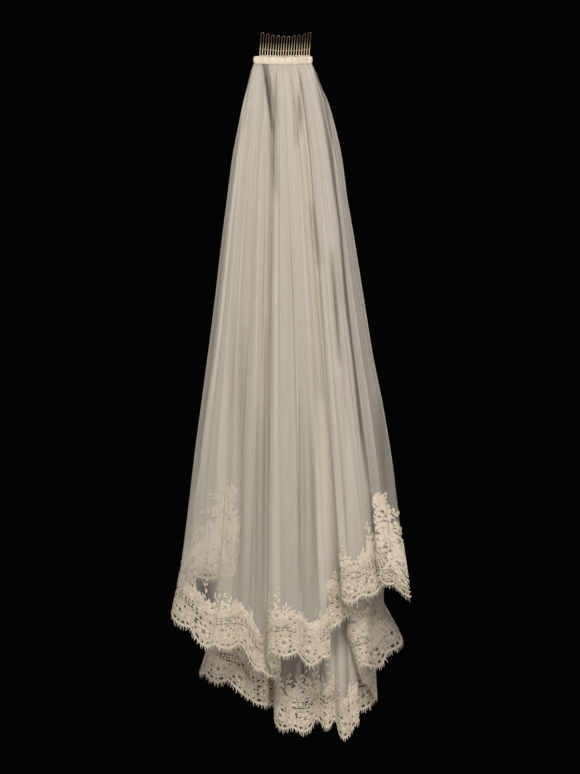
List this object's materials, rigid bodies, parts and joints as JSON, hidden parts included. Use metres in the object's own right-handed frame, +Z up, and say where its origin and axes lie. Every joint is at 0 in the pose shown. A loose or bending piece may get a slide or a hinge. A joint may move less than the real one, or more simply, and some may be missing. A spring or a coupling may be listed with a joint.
{
  "type": "bridal veil on a wire comb",
  "caption": "Two-tier ivory tulle bridal veil with scalloped lace edges, gathered into a satin-bound wire comb and hanging from it in soft folds.",
  "frame": {"origin": "middle of the comb's teeth, where hair or a hook holds the veil", "axes": "+Z up along the hanging cloth, +X to the viewer's right across the comb, the viewer at -Y in front of the short tier"},
  "size_m": [0.3818, 0.1592, 1.1318],
  "materials": {
    "comb_metal": "polished, pale gold",
    "ivory_satin": "satin",
    "ivory_tulle": "sheer net",
    "ivory_lace": "matt, corded"
  },
  "bodies": {
    "root": {"comb_spine": "comb_metal", "comb_tooth_01": "comb_metal", "comb_tooth_02": "comb_metal", "comb_tooth_03": "comb_metal", "comb_tooth_04": "comb_metal", "comb_tooth_05": "comb_metal", "comb_tooth_06": "comb_metal", "comb_tooth_07": "comb_metal", "comb_tooth_08": "comb_metal", "comb_tooth_09": "comb_metal", "comb_tooth_10": "comb_metal", "top_binding": "ivory_satin", "front_tier": "ivory_tulle", "back_tier": "ivory_tulle", "front_lace": "ivory_lace", "back_lace": "ivory_lace", "front_fringe": "ivory_lace", "back_fringe": "ivory_lace"}
  },
  "joints": []
}
